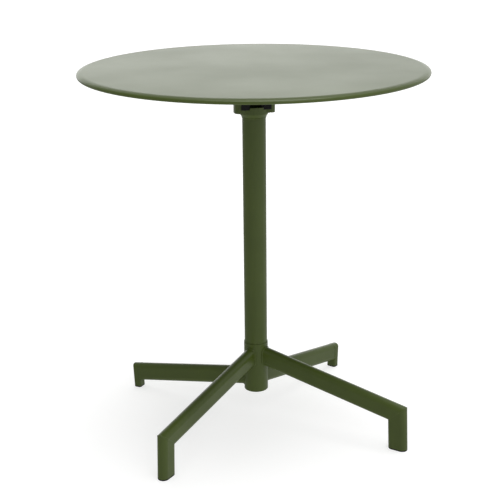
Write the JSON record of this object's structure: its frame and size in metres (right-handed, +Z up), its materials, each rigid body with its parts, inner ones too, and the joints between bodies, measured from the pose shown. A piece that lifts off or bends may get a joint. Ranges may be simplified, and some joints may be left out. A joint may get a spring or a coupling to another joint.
{
  "type": "flip-top bistro table",
  "caption": "Round flip-top bistro table: pressed metal top with a curled rim, slim column and a nesting X base with tall front and low back legs.",
  "frame": {"origin": "on the floor, on the column's axis, under the middle of the round top", "axes": "+Z up along the column; the tall front pair of legs towards -Y, the low back pair towards +Y; the tilt hinge runs along X"},
  "size_m": [0.7, 0.7, 0.75],
  "materials": {
    "green_powder_coat": "satin",
    "black_plastic": "matte",
    "black_nylon": "satin",
    "black_rubber": "matte",
    "zinc_plated_steel": "satin"
  },
  "bodies": {
    "base": {"hub_sleeve": "green_powder_coat", "column_seat": "green_powder_coat", "column_tube": "green_powder_coat", "head_casting": "green_powder_coat", "front_left_arm": "green_powder_coat", "front_left_upright": "green_powder_coat", "front_right_arm": "green_powder_coat", "front_right_upright": "green_powder_coat", "back_left_arm": "green_powder_coat", "back_left_post": "green_powder_coat", "back_left_post_cap": "green_powder_coat", "back_right_arm": "green_powder_coat", "back_right_post": "green_powder_coat", "back_right_post_cap": "green_powder_coat", "front_left_glide": "black_plastic", "front_right_glide": "black_plastic", "back_left_glide": "black_plastic", "back_right_glide": "black_plastic", "left_friction_block": "black_nylon", "right_friction_block": "black_nylon", "stop_pads": "black_rubber", "front_buffers": "black_rubber", "tie_rod": "zinc_plated_steel", "tie_rod_washer": "zinc_plated_steel", "tie_rod_nut": "zinc_plated_steel", "hinge_bolt": "zinc_plated_steel", "clamp_washer": "zinc_plated_steel"},
    "top": {"table_top": "green_powder_coat", "front_rail": "green_powder_coat", "back_rail": "green_powder_coat", "top_bracket": "green_powder_coat", "bracket_screws": "zinc_plated_steel", "weld_nuts": "zinc_plated_steel"},
    "lever": {"clamp_lever": "zinc_plated_steel", "lever_grip": "black_plastic"}
  },
  "joints": [
    {"name": "top_tilt", "type": "hinge", "parent": "base", "child": "top", "pos_m": [0, -0.01, 0.705], "axis": [1, 0, 0], "range_deg": [0, 90]},
    {"name": "clamp_turn", "type": "hinge", "parent": "base", "child": "lever", "pos_m": [-0.0506, -0.01, 0.705], "axis": [-1, 0, 0], "range_deg": [0, 75]}
  ]
}
